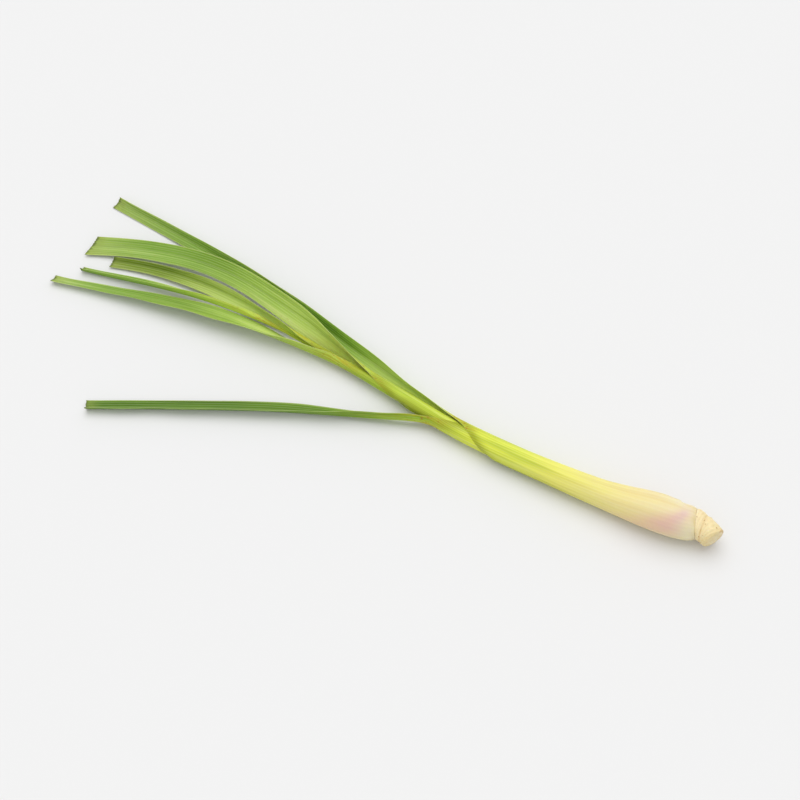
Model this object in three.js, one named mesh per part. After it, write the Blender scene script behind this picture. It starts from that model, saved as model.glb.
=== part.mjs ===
// One lemongrass stalk, cut at both ends and lying on its side.
// A root plate carries six leaves. Each leaf is one piece: a sheath rolled round all the leaves
// inside it, then a collar where it opens, then a long blade folded along its midrib.
// Millimetres, +Z up. +X runs from the root plate to the leaf ends, X = 0 is the ring scar halfway
// along the root plate, and Z = 0 is the table.

import * as THREE from 'three';

// ---------------------------------------------------------------- driving dimensions

// Knots are [distance from the scar, value].
const OUTER_RADIUS = [
  [5, 8.3], [12, 10.3], [22, 11.1], [34, 10.6], [48, 9.2], [62, 8.1], [88, 7.2], [120, 6.7], [165, 6.4],
  [430, 6.4],
];
const AXIS_Y = [
  [-8, 0.1], [0, -3.2], [6, -4.2], [12, -2.8], [25, -1], [60, 1.2], [110, 1.2], [150, -0.6], [190, -6],
  [230, -12], [280, -17], [340, -19], [430, -15],
];
const AXIS_Z = [
  [-8, 9.8], [0, 10.4], [12, 10.7], [25, 11.1], [62, 8.9], [110, 7.5], [165, 6.9], [215, 6.4], [300, 5.6],
  [430, 5],
];

const SHEATH_START = 5; // where the outermost sheath leaves the root plate
const SHEATH_STEP = 2.6; // each sheath inside it starts this much further up
const WALL_SHARE = 0.094; // wall of a sheath as a share of the stalk's radius there
const LAYER_GAP = 0.45; // clearance between one leaf and the next
const SLIT = THREE.MathUtils.degToRad(4); // half of the slit where a hidden sheath's edges meet

const BLADE_THICKNESS = 0.65;
const WAIST_SHARE = 0.76; // the blade's width at its collar, as a share of its widest
const WAIST_LENGTH = 60;
const KEEL_HEIGHT = 0.55; // the midrib's ridge on the blade's back
const KEEL_WIDTH = 1.1;
const FOLD_SOFTNESS = 1.3; // the fold along the midrib is a small round, not a crease

const MOUTH_BELOW = 36; // the sheath starts to narrow this far below its collar
const MOUTH_ABOVE = 5;
const OPENING_BELOW = 14; // and unrolls between these two distances
const OPENING_ABOVE = 24;
const LEAVING_BELOW = 6; // where the blade starts to swing away from the stalk
const TWIST_LENGTH = 90; // the blade turns to lie on its back over this length
const TURN_LENGTH = 25; // the cross-sections turn from the stalk's axis to the blade's own line

const FLAT_LEVEL = 0.3; // what comes lower than this is pressed flat on the table

// The half-turn between leaves on opposite sides, and the slight roll of the whole fan.
const FAR_SIDE = THREE.MathUtils.degToRad(176.4);
const NEAR_SIDE = THREE.MathUtils.degToRad(-4);

// collar, end: distances from the scar. swing: slope away from the stalk, and turn, the length
// over which it bends to that slope. curl: sideways return at the end. tip: height of the midrib's
// end. arch: rise between. twist: degrees turned by the end. width: flat width of the blade, and
// endShare, how much of it is left at the cut end. fold: slope of each half of the blade. overlap:
// degrees that one sheath edge passes over the other from overlapFrom on. slant, notch: the cut
// end's slope across, and its bite at the fold.
const LEAVES = [
  { name: 'leaf_1_outer', far: true, collar: 155, end: 420, swing: -0.168, turn: 40, curl: 0, tip: 0.9, arch: 3,
    twist: 64, width: 13, endShare: 0.68, fold: 30, overlap: 30, overlapFrom: 0, slant: 0.25, notch: 0,
    steps: 18, color: 0xe6e592 },
  { name: 'leaf_2', far: false, collar: 170, end: 356, swing: 0.53, turn: 10, curl: 0, tip: 1.1,
    arch: 1.2, twist: -58, width: 12, endShare: 0.86, fold: 36, overlap: 0, overlapFrom: 0, slant: 0, notch: 0.5,
    steps: 16, color: 0x9ac25e },
  { name: 'leaf_3', far: true, collar: 216, end: 416, swing: -0.28, turn: 31, curl: 46, tip: 1.9, arch: 7.5,
    twist: 80, width: 15, endShare: 0.86, fold: 18, overlap: 24, overlapFrom: 186, slant: 0.55, notch: 0,
    steps: 16, color: 0xaccd72 },
  { name: 'leaf_4', far: false, collar: 234, end: 424, swing: 0.152, turn: 30, curl: 0, tip: 1.4, arch: 4,
    twist: -62, width: 15, endShare: 0.5, fold: 17, overlap: 0, overlapFrom: 0, slant: 0.3, notch: 0.3,
    steps: 14, color: 0x8dbb45 },
  { name: 'leaf_5', far: true, collar: 256, end: 398, swing: -0.145, turn: 22, curl: 20, tip: 1.8, arch: 1,
    twist: 66, width: 11, endShare: 0.7, fold: 34, overlap: 0, overlapFrom: 0, slant: 0.3, notch: 0,
    steps: 12, color: 0x7fae3c },
  { name: 'leaf_6_heart', far: false, collar: 290, end: 412, swing: 0.122, turn: 25, curl: 0, tip: 1.9,
    arch: 2, twist: -40, width: 9.5, endShare: 0.7, fold: 38, overlap: 0, overlapFrom: 0, slant: 0.2, notch: 0,
    steps: 10, color: 0x93c04a },
];

// Cross-sections that every sheath shares, so that one layer follows the next: one where each leaf
// starts, these round the bulb, then one at each SHEATH_STATION_STEP, with more where a sheath opens.
const BULB_STATIONS = [24, 32, 42, 54, 70, 90, 110];
const SHEATH_STATION_STEP = 10;
const COLLAR_STATION_STEP = 5;
const BLADE_STATION_STEP = 17;

// Root plate: [distance from the scar, radius], first the cut stub with the scar round its middle,
// then the cone inside the sheaths that the leaves grow from.
const ROOT_PROFILE = [
  [-7.6, 5.8], [-7.2, 6.35], [-6.2, 6.7], [-4.2, 6.95], [-2.2, 7.15], [-0.8, 7.15], [0, 6.85], [0.8, 7.35],
  [2.6, 7.8], [4.3, 8.1], [4.4, 7.0], [7.6, 6.4], [10.2, 5.5], [12.8, 4.4], [15.4, 3.1], [18, 1.9], [23, 0.5],
];
const ROOT_SLANT = 0.15; // slope of its cut, which is a little longer on the side away from +Y
const ROOT_SIDES = 24;

// The bounding box's middle, which becomes the origin.
const BOX_MIDDLE_X = 207.5;
const BOX_MIDDLE_Y = 11.85;

// ---------------------------------------------------------------- small helpers

const { clamp, degToRad, lerp, smoothstep } = THREE.MathUtils;

// A smooth curve through knots, flat beyond the first and the last.
function along(knots, x) {
  const last = knots.length - 1;
  if (x <= knots[0][0]) return knots[0][1];
  if (x >= knots[last][0]) return knots[last][1];
  const i = knots.findIndex((knot) => knot[0] > x) - 1;
  const slopeAt = (k) => {
    const [before, after] = [knots[Math.max(k - 1, 0)], knots[Math.min(k + 1, last)]];
    return (after[1] - before[1]) / (after[0] - before[0]);
  };
  const span = knots[i + 1][0] - knots[i][0];
  const t = (x - knots[i][0]) / span;
  const rise = t * t * (3 - 2 * t);
  const ease = t * (1 - t) * (1 - t) * slopeAt(i) - t * t * (1 - t) * slopeAt(i + 1);
  return lerp(knots[i][1], knots[i + 1][1], rise) + span * ease;
}

const ramp = (x, from, to) => smoothstep(x, from, to);
const axisPoint = (x) => new THREE.Vector3(x, along(AXIS_Y, x), along(AXIS_Z, x));

// Unit direction of a path at x.
function heading(path, x) {
  const reach = 0.5;
  return path(x + reach).sub(path(x - reach)).normalize();
}

// Side and up vectors of the plane across a heading.
function crossPlane(tangent) {
  const side = new THREE.Vector3(0, 0, 1).cross(tangent).normalize();
  return { side, up: tangent.clone().cross(side) };
}

function aroundPlane({ side, up }, angle) {
  return side.clone().multiplyScalar(Math.cos(angle)).addScaledVector(up, Math.sin(angle));
}

// ---------------------------------------------------------------- the leaf as a formula

const wallAt = (x) => WALL_SHARE * along(OUTER_RADIUS, x);

// Radius of the middle of a sheath's wall: each layer sits one wall and one gap further in.
function rollRadius(layer, x) {
  const outer = along(OUTER_RADIUS, x) - layer * (wallAt(x) + LAYER_GAP);
  return outer - wallAt(x) / 2;
}

// Direction of the leaf's back, as an angle round the path.
function backAngle(leaf, x) {
  const start = leaf.far ? FAR_SIDE : NEAR_SIDE;
  return start + degToRad(leaf.twist) * ramp(x, leaf.collar - LEAVING_BELOW, leaf.collar + TWIST_LENGTH);
}

// Distance the blade has swung sideways: it turns off the stalk in a short bend, then runs straight.
function sideways(leaf, x) {
  const leaving = leaf.collar - LEAVING_BELOW;
  const past = Math.max(0, x - leaving);
  const bend = Math.hypot(past, leaf.turn) - leaf.turn;
  return leaf.swing * bend + leaf.curl * (past / (leaf.end - leaving)) ** 3;
}

// The midrib: along the back of the sheath, then out to the cut end.
function midrib(leaf, layer, x) {
  const back = aroundPlane(crossPlane(heading(axisPoint, x)), backAngle(leaf, x));
  const point = axisPoint(x).addScaledVector(back, rollRadius(layer, x));
  point.y += sideways(leaf, x);
  const leaving = leaf.collar - LEAVING_BELOW;
  const share = clamp((x - leaving) / (leaf.end - leaving), 0, 1);
  point.z = lerp(point.z, leaf.tip, ramp(share, 0, 1)) + leaf.arch * Math.sin(Math.PI * share) ** 2;
  return point;
}

// Local frame of the leaf: where its midrib is, which way it runs, its back and its width.
function leafFrame(leaf, layer, x) {
  const origin = midrib(leaf, layer, x);
  const leaving = leaf.collar - LEAVING_BELOW;
  const own = ramp(x, leaving, leaving + TURN_LENGTH);
  const tangent = heading(axisPoint, x).lerp(heading((u) => midrib(leaf, layer, u), x), own).normalize();
  const plane = crossPlane(tangent);
  const angle = backAngle(leaf, x);
  const across = aroundPlane(plane, angle + Math.PI / 2);
  return { origin, tangent, back: aroundPlane(plane, angle), across };
}

// How far the sheath's edges have closed over each other, from 0 to 1.
function closingAt(leaf, x) {
  return leaf.overlap > 0 ? ramp(x, leaf.overlapFrom - 1, leaf.overlapFrom + 8) : 0;
}

// Reach of the leaf's two edges from its midrib, measured along the leaf's own surface.
function edges(leaf, layer, x) {
  const radius = rollRadius(layer, x);
  const closing = closingAt(leaf, x);
  const narrow = ramp(x, leaf.collar - MOUTH_BELOW, leaf.collar + MOUTH_ABOVE);
  const waist = lerp(WAIST_SHARE, 1, ramp(x, leaf.collar, leaf.collar + WAIST_LENGTH));
  const taper = lerp(1, leaf.endShare, ramp(x, leaf.collar + WAIST_LENGTH, leaf.end));
  const half = (leaf.width / 2) * waist * taper;
  const under = radius * (Math.PI - lerp(SLIT, 0, closing));
  const over = radius * (Math.PI + lerp(-SLIT, degToRad(leaf.overlap), closing));
  return { low: -lerp(under, half, narrow), high: lerp(over, half, narrow) };
}

// Slope of the leaf's surface at a distance across from its midrib: rolled in the sheath, folded in
// the blade.
function slopeAcross(leaf, radius, opened, distance) {
  const rolled = distance / radius;
  const folded = degToRad(leaf.fold) * distance / Math.hypot(distance, FOLD_SOFTNESS);
  return lerp(rolled, folded, opened);
}

// Points of one cross-section, along the back and then along the face.
function crossSection(leaf, layer, x) {
  const { origin, tangent, back, across } = leafFrame(leaf, layer, x);
  const { low, high } = edges(leaf, layer, x);
  const radius = Math.max(rollRadius(layer, x), -low / (Math.PI - SLIT)); // its edges never meet
  const opened = ramp(x, leaf.collar - OPENING_BELOW, leaf.collar + OPENING_ABOVE);
  const wall = lerp(wallAt(x), BLADE_THICKNESS, opened);
  const flap = (wall + LAYER_GAP) * (1 - opened) * closingAt(leaf, x);
  const backPoints = [];
  const facePoints = [];
  for (let i = 0; i <= leaf.steps; i += 1) {
    const distance = lerp(low, high, i / leaf.steps);
    const { span, depth } = walkAcross(leaf, radius, opened, distance);
    const slope = slopeAcross(leaf, radius, opened, distance);
    const lift = flap * ramp(slope, Math.PI * 0.62, Math.PI * 0.98);
    const keel = opened * KEEL_HEIGHT * Math.exp(-((distance / KEEL_WIDTH) ** 2));
    const normal = back.clone().multiplyScalar(Math.cos(slope)).addScaledVector(across, Math.sin(slope));
    const cut = (leaf.slant * distance + leaf.notch * Math.abs(distance)) * ramp(x, leaf.end - 15, leaf.end);
    const middle = origin.clone().addScaledVector(across, span).addScaledVector(back, -depth);
    middle.addScaledVector(tangent, cut);
    backPoints.push(middle.clone().addScaledVector(normal, wall / 2 + lift + keel));
    facePoints.push(middle.clone().addScaledVector(normal, lift - wall / 2));
  }
  return [...backPoints, ...facePoints.reverse()];
}

// Sideways reach and depth of the leaf's surface at a distance across, by adding up short steps.
function walkAcross(leaf, radius, opened, distance) {
  const pieces = 24;
  const step = distance / pieces;
  let span = 0;
  let depth = 0;
  for (let k = 0; k < pieces; k += 1) {
    const slope = slopeAcross(leaf, radius, opened, (k + 0.5) * step);
    span += Math.cos(slope) * step;
    depth += Math.sin(slope) * step;
  }
  return { span, depth };
}

// ---------------------------------------------------------------- solids

// Distances from the scar at which a leaf's cross-sections are taken.
function stations(leaf, layer) {
  const starts = LEAVES.map((_, k) => SHEATH_START + k * SHEATH_STEP).slice(layer);
  const mouth = leaf.collar - MOUTH_BELOW;
  const blade = leaf.collar + OPENING_ABOVE;
  const list = [...starts, ...BULB_STATIONS];
  while (list.at(-1) < blade) {
    const step = list.at(-1) < mouth ? SHEATH_STATION_STEP : COLLAR_STATION_STEP;
    list.push(list.at(-1) + step);
  }
  const last = list.at(-1);
  const bladeSteps = Math.round((leaf.end - last) / BLADE_STATION_STEP);
  for (let i = 1; i <= bladeSteps; i += 1) list.push(lerp(last, leaf.end, i / bladeSteps));
  return list;
}

// Closed skin over rings of equally many points, each ring a closed loop. capRing lists the end
// caps' triangles for the first ring; the last ring has them the other way round.
function skin(rings, capRing) {
  const count = rings[0].length;
  const positions = rings.flat().flatMap((point) => [point.x, point.y, point.z < FLAT_LEVEL ? 0 : point.z]);
  const faces = [];
  for (let r = 0; r + 1 < rings.length; r += 1) {
    for (let k = 0; k < count; k += 1) {
      const [a, b] = [r * count + k, r * count + ((k + 1) % count)];
      faces.push(a, b, a + count, b, b + count, a + count);
    }
  }
  const top = (rings.length - 1) * count;
  for (const [a, b, c] of capRing) {
    faces.push(a, c, b);
    faces.push(top + a, top + b, top + c);
  }
  const geometry = new THREE.BufferGeometry();
  geometry.setAttribute('position', new THREE.Float32BufferAttribute(positions, 3));
  geometry.setIndex(faces);
  geometry.computeVertexNormals();
  return geometry;
}

function leafGeometry(leaf, layer) {
  const rings = stations(leaf, layer).map((x) => crossSection(leaf, layer, x));
  const last = rings[0].length - 1;
  const cap = [];
  for (let i = 0; i < leaf.steps; i += 1) {
    cap.push([i, i + 1, last - i]);
    cap.push([i + 1, last - i - 1, last - i]);
  }
  return skin(rings, cap);
}

// The root plate is knobbly: its rim wanders a little as it goes round.
function rootGeometry() {
  const rings = ROOT_PROFILE.map(([x, radius]) => {
    const plane = crossPlane(heading(axisPoint, x));
    return Array.from({ length: ROOT_SIDES }, (_, k) => {
      const angle = (2 * Math.PI * k) / ROOT_SIDES;
      const knobs = 0.02 * Math.sin(3 * angle + 1) + 0.015 * Math.sin(5 * angle + 4 * x);
      const reach = radius * (x < SHEATH_START ? 1 + knobs : 1);
      const point = axisPoint(x).addScaledVector(aroundPlane(plane, angle), reach);
      point.x += ROOT_SLANT * Math.cos(angle) * reach * ramp(-x, 0, 7);
      return point;
    });
  });
  const cap = Array.from({ length: ROOT_SIDES - 2 }, (_, k) => [0, k + 1, k + 2]);
  return skin(rings, cap);
}

function makeMesh(name, geometry, color, roughness) {
  const mesh = new THREE.Mesh(geometry, new THREE.MeshStandardMaterial({ color, roughness, metalness: 0 }));
  mesh.name = name;
  return mesh;
}

// ---------------------------------------------------------------- the stalk

const stalk = new THREE.Group();
stalk.add(makeMesh('root_plate', rootGeometry(), 0xe8c27e, 0.7));
LEAVES.forEach((leaf, layer) => stalk.add(makeMesh(leaf.name, leafGeometry(leaf, layer), leaf.color, 0.5)));
stalk.position.set(-BOX_MIDDLE_X, -BOX_MIDDLE_Y, 0);

export default stalk;
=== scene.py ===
# One lemongrass stalk, cut at both ends, lying on a pale table.
# A root plate carries six leaves. Each leaf is one strip of grass tissue: a sheath rolled round the
# leaves inside it, a collar where it opens, and a long blade folded along its midrib.
# Lengths below are millimetres and are counted from the ring scar halfway along the root plate;
# the scene's own are metres.

import math
from types import SimpleNamespace

import bpy
import numpy as np
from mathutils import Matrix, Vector


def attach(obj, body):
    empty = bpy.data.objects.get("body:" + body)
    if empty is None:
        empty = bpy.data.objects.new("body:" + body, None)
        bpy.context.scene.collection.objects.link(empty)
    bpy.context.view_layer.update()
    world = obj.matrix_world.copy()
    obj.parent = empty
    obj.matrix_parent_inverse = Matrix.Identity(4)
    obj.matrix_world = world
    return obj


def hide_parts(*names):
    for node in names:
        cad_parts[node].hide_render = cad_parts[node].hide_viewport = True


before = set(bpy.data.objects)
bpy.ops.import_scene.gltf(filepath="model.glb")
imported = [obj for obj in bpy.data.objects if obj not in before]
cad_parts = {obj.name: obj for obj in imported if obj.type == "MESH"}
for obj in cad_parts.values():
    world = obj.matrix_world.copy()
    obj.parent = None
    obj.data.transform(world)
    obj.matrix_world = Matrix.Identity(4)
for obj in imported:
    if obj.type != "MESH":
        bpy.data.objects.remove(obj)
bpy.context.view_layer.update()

MM = 0.001

# ---------------------------------------------------------------- shape of the stalk

# Knots are [distance from the scar, value].
OUTER_RADIUS = [
    [5, 8.3], [8, 9.55], [12, 10.45], [22, 11.1], [34, 10.6], [48, 9.2], [62, 8.1], [88, 7.2],
    [120, 6.7], [165, 6.4], [430, 6.4],
]
AXIS_Y = [
    [-8, 0.1], [0, -3.2], [6, -4.2], [12, -2.8], [25, -1], [60, 1.2], [110, 1.2], [150, -0.6],
    [190, -6], [230, -12], [280, -17], [340, -19], [430, -15],
]
AXIS_Z = [
    [-8, 9.8], [0, 10.4], [12, 10.7], [25, 11.1], [62, 8.9], [110, 7.5], [165, 6.9], [215, 6.4],
    [300, 5.6], [430, 5],
]
BOX_MIDDLE = np.array([207.5, 11.85, 0.0])  # the point on the table that the frame calls its origin

SHEATH_START = 4.95  # where the outermost sheath leaves the root plate
SHEATH_STEP = 2.6  # each sheath inside it starts this much further up
WALL_SHARE = 0.094  # wall of a sheath as a share of the stalk's radius there
LAYER_GAP = 0.45
SNUG = 0.38  # the soft sheaths fill this much of the clearance between layers
FOOT_SHARE = 0.6  # a sheath thins towards this share of its wall where it leaves the root
FOOT_BELOW, FOOT_ABOVE = 0.4, 1.6  # over the stretch between these two
# Round the scar everything leans towards the cut on this side, by this slope. The lean fades out
# between the first two distances, up the bulb, and between the last two, at the cut.
LEAN_SIDE, LEAN_SLOPE = math.radians(-30), 0.4
LEAN_UP, LEAN_DOWN = (44, 10), (-7.4, -0.8)
SLIT = math.radians(4)  # half of the slit where a hidden sheath's edges meet
# Where a sheath shows, its edges shift round and lap: how much further one reaches than half way
# round, and how much less the other, which lies over it close to the table.
UNDER_REACH, OVER_SHORT = math.radians(44), math.radians(29)
LAP_BEFORE, LAP_AFTER = 1, 8  # they do so from this far below laps_from to this far above it

BLADE_THICKNESS = 0.4
WAIST_SHARE = 0.76  # the blade's width at its collar, as a share of its widest
WAIST_LENGTH = 60
KEEL_HEIGHT = 0.55  # the midrib's ridge on the blade's back
KEEL_WIDTH = 1.1
FOLD_SOFTNESS = 1.3  # the fold along the midrib is a small round, not a crease

MOUTH_BELOW, MOUTH_ABOVE = 36, 5  # the sheath narrows to the blade's width between these two
OPENING_BELOW, OPENING_ABOVE = 14, 24  # and unrolls between these two
LEAVING_BELOW = 6  # where the blade starts to swing away from the stalk
TWIST_LENGTH = 90  # the blade turns to lie on its back over this length
TURN_LENGTH = 25  # its cross-sections turn from the stalk's heading to its own over this length

# Where the leaves' backs lie round the stalk, as angles from +Y over the top.
FAR_SIDE = math.radians(176.4)
NEAR_SIDE = math.radians(-4)

# Margins thin out: thickness at the very edge, and how far in the full wall begins, in a closed
# sheath, at its mouth and in the blade.
MARGIN_THICKNESS = 0.12
CLOSED_MARGIN, MOUTH_MARGIN, BLADE_MARGIN = 1.0, 4.5, 1.6
MOUTH_EARLY = 0.2  # a mouth's margin is reached by this share of the narrowing
# An edge that lies over the other thins out between these distances from its margin. It is pressed
# into the soft leaf below, so that it stands only this much above the other's skin. The lift that
# this takes goes between these two shares of the mouth's narrowing.
LAP_THINS = (7, 0.8)
LAP_STEP = 0.06
LIFT_GOES = (0.2, 0.06)

# A sheath's skin swells and a blade's margins flutter: height of the waves, then their lengths.
SWELL, SWELL_LENGTH = 0.1, 70
FLUTTER, FLUTTER_LENGTH, FLUTTER_WIDTH = 0.45, 46, 60

# A cut edge: how far it strays, how far torn fibres stand out and how many there are. Then how much
# of the leaf follows them and how much the cut's slant, and the share of the raggedness at a foot.
CUT_STRAY, CUT_FIBRE, FIBRES = 0.22, 0.34, 41
RAGGED_LENGTH, SLANT_LENGTH = 2.5, 15
FOOT_RAGGED = 0.5

# Spacing of a leaf's cross-sections: the plain one, and the closer ones at its foot, by its collar
# and at its cut end, each with the distances from there over which it widens to the plain one.
PLAIN_SPACING = 1.6
FOOT_SPACING, FOOT_ZONE = 0.7, (8, 40)
COLLAR_SPACING, COLLAR_ZONE = 0.95, (25, 60)
END_SPACING, END_ZONE = 0.3, (3, 25)
CROWDING = 0.78  # faces are narrower by this share at the margins, and wider in the middle

NECK_RADIUS = 6.4  # turns the angle round a sheath into millimetres across it
REACH = 430.0  # longer than any leaf: the whole of every row of colour stops
PAST_END = 25  # colour stops up to this far past a cut end still count, drawn back to it

# Seeds of the random waves. A leaf adds its layer to the last three.
RIPPLE_SEED, KNOB_SEED, SAW_SEED, RING_SEED, SWELL_SEED = 3, 4, 5, 8, 1
FLUTTER_SEED, END_SEED, FOOT_SEED = 20, 50, 70

# ---------------------------------------------------------------- stains of the leaves

# Mauve blush on the outer sheath: (centre line as [distance, degrees round the stalk], strength).
BLUSHES = [
    ([[5, 104], [8, 95], [15, 68], [20.5, 52], [30, 36], [39.5, 24], [49, 14], [62, 4]], 1.0),
    ([[5, 262], [12, 250], [24, 232], [40, 220], [62, 214]], 0.8),
]
BLUSH_LINE, BLUSH_WASH = 19, 33  # degrees: reach of the line itself and of the wash below it
LINE_SHARE, WASH_SHARE = 0.75, 0.8
# From none to full: the line comes in and goes, the wash comes in, and then all of it goes.
LINE_IN, LINE_OUT, WASH_IN, BLUSH_OUT = (4, 12), (44, 12), (5, 26), (70, 30)
# Creamy patches near the sheath's foot: (distance, degrees round the stalk, strength). Then how
# far they reach, in mm along and degrees round.
CREAMS = [(11, 28, 0.5), (13, 190, 0.6), (9, 300, 0.5)]
CREAM_REACH = (5, 24)
# Rusty or olive marks on the sheath further up, listed the same way.
RUSTS = [(92, -14, 0.8), (118, 205, 0.7), (150, 108, 0.9)]
RUST_REACH = (9, 15)
# And round every collar: (distance past it, reach, strength).
COLLAR_RUSTS = [(1, 11, 1.0), (26, 16, 0.25)]

# ---------------------------------------------------------------- the six leaves

# far: its back lies on the side away from +Y. collar, end: distances from the scar. swing: slope
# away from the stalk, and turn, the length over which it bends to that slope. curl: sideways return
# at the end. tip: height of the midrib's end. arch: rise between. twist: degrees turned by the end.
# width: flat width of the blade, and end_share, how much of it is left at the cut end. fold: slope
# in degrees of each half of the blade. laps_from: where its sheath comes out of the one outside it
# and its edges lap. slant, notch: the cut end's slope across, and its bite at the fold. columns:
# faces across the strip. slot: of the frame's materials. tone: one of BLADES.
LEAVES = [
    SimpleNamespace(
        name="leaf_1_outer", far=True, collar=155, end=420, swing=-0.168, turn=40, curl=0, tip=0.9,
        arch=3, twist=64, width=13, end_share=0.68, fold=30, laps_from=0, slant=0.12, notch=0,
        columns=112, slot="outer_leaf", tone="fresh"),
    SimpleNamespace(
        name="leaf_2", far=False, collar=170, end=356, swing=0.575, turn=10, curl=-7, tip=1.1,
        arch=1.2, twist=-58, width=12, end_share=0.86, fold=36, laps_from=None, slant=0, notch=0.08,
        columns=64, slot="inner_leaf", tone="deep"),
    SimpleNamespace(
        name="leaf_3", far=True, collar=216, end=416, swing=-0.28, turn=31, curl=46, tip=1.9,
        arch=7.5, twist=80, width=15, end_share=0.86, fold=18, laps_from=186, slant=0.55, notch=0,
        columns=76, slot="inner_leaf", tone="pale"),
    SimpleNamespace(
        name="leaf_4", far=False, collar=234, end=424, swing=0.152, turn=30, curl=0, tip=1.4,
        arch=4, twist=-62, width=15, end_share=0.5, fold=17, laps_from=None, slant=0.1, notch=0.04,
        columns=68, slot="inner_leaf", tone="pale"),
    SimpleNamespace(
        name="leaf_5", far=True, collar=256, end=398, swing=-0.145, turn=22, curl=20, tip=1.8,
        arch=1, twist=66, width=11, end_share=0.7, fold=34, laps_from=None, slant=0.3, notch=0,
        columns=56, slot="inner_leaf", tone="olive"),
    SimpleNamespace(
        name="leaf_6_heart", far=False, collar=290, end=412, swing=0.122, turn=25, curl=0, tip=1.9,
        arch=2, twist=-40, width=9.5, end_share=0.7, fold=38, laps_from=None, slant=0.06, notch=0,
        columns=48, slot="heart_leaf", tone="fresh"),
]

# ---------------------------------------------------------------- form of the root plate

# [distance from the scar, radius]: first the cut stub with the scar round its middle, then the cone
# inside the sheaths that the leaves grow from.
ROOT_PROFILE = [
    [-7.6, 5.7], [-7.45, 6.15], [-7.1, 6.45], [-6.2, 6.7], [-4.2, 6.95], [-2.2, 7.15], [-0.8, 7.2],
    [-0.25, 7.08], [0, 6.9], [0.3, 7.15], [0.8, 7.4], [2.6, 7.85], [4.2, 8.05], [4.75, 7.9],
    [5.05, 7.0], [7.6, 6.4], [10.2, 5.5], [12.8, 4.4], [15.4, 3.1], [18, 1.9], [23, 0.5],
]
# Its cross-sections: close together on the stub, then a few along the cone.
ROOT_RINGS = np.concatenate([np.arange(-7.6, 5.2, 0.2), np.arange(5.6, 23.1, 1.45)])
ROOT_STRAIGHT = -7.4  # the stub runs straight from here to its cut
ROOT_SIDES = 180
# Slope of its cut, which reaches a little further on the side away from +Y, and where it comes in.
ROOT_SLANT, SLANT_ZONE = 0.15, (0, -7)
ROOT_SPAN = 9  # no ring of the plate reaches this far from its centre
CUT_INSETS = (0.4, 0.6, 0.9, 0.9, 0.9, 0.9)  # widths of the rings of faces in the cut
# Stubs and scars of trimmed roots: (distance from the scar, degrees round the stalk, width in mm).
ROOT_STUBS = [
    (0.1, 96, 0.7), (4.3, 88, 0.6), (-1.2, 84, 0.5), (0.4, 18, 0.8), (-2.9, 40, 0.6),
    (-5.2, 112, 0.7), (-3.8, 205, 0.9), (-1.4, 160, 0.8), (-5.6, 262, 1.0), (0.2, 331, 0.8),
    (-4.4, 2, 0.7), (0.0, 240, 0.9), (2.3, 300, 0.7), (2.6, 180, 0.6),
]
STUBS_OUTSIDE = (5.8, 6.2)  # they come in between these two radii
# Relief of the plate's skin, as shares of its radius. It fades out over this stretch below the
# sheath. Then the distance between the fine rings, and how far they stray.
RING_RELIEF, KNOB_RELIEF, STUB_RELIEF = 0.003, 0.018, 0.04
RELIEF_FADE = 0.8
RING_SPACING, RING_STRAY = 2.3, 0.9
# The cut's face lies within this radius, with marks of the knife this deep. Its moist flesh bulges
# out by this much, which comes in between these two radii.
CUT_RADIUS, SAW_MARKS = 5.65, 0.12
CUT_BULGE, BULGE_ZONE = 0.16, (5.5, 3)

# ---------------------------------------------------------------- edges, table, light and camera

# Edges sharper than this stay sharp.
LEAF_CREASE, ROOT_CREASE = math.radians(50), math.radians(60)

TABLE_SIZE = 12  # metres
TABLE_DROP = 0.02 * MM  # the table stays clear of what is pressed flat on it
TENT_STRENGTH = 0.72
KEY_STRENGTH, KEY_SPREAD = 1.35, math.radians(62)
KEY_FROM = (0.3, -0.4, 1.3)
LENS, SENSOR = 80, 36
CAMERA_PLACE = np.array([-59.6, 490.2, 893.8])
CAMERA_AIM = np.array([193.3, -7.8, 0.0])


# ---------------------------------------------------------------- curves and frames

def along(knots, x):
    """Smooth curve through the knots, flat beyond the first and the last."""
    places, values = np.array(knots, float).T
    last = len(places) - 1
    k = np.arange(last + 1)
    before, after = np.maximum(k - 1, 0), np.minimum(k + 1, last)
    slopes = (values[after] - values[before]) / (places[after] - places[before])
    x = np.clip(x, places[0], places[-1])
    i = np.clip(np.searchsorted(places, x, side="right") - 1, 0, last - 1)
    span = places[i + 1] - places[i]
    t = (x - places[i]) / span
    ease = t * (1 - t) ** 2 * slopes[i] - t * t * (1 - t) * slopes[i + 1]
    return mix(values[i], values[i + 1], t * t * (3 - 2 * t)) + span * ease


def mix(a, b, share):
    return a + (b - a) * share


def ramp(x, start, stop):
    """Goes smoothly from 0 at start to 1 at stop."""
    t = np.clip((x - start) / (stop - start), 0, 1)
    return t * t * (3 - 2 * t)


def unit(vectors):
    return vectors / np.linalg.norm(vectors, axis=-1, keepdims=True)


def axis_point(x):
    return np.stack([x, along(AXIS_Y, x), along(AXIS_Z, x)], axis=-1)


def heading(path, x):
    """Unit direction of a path at x."""
    reach = 0.5
    return unit(path(x + reach) - path(x - reach))


def cross_plane(tangent):
    """Side and up vectors of the plane across a heading."""
    side = unit(np.cross([0.0, 0.0, 1.0], tangent))
    return side, np.cross(tangent, side)


def around(plane, angle):
    side, up = plane
    return side * np.cos(angle)[..., None] + up * np.sin(angle)[..., None]


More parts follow.
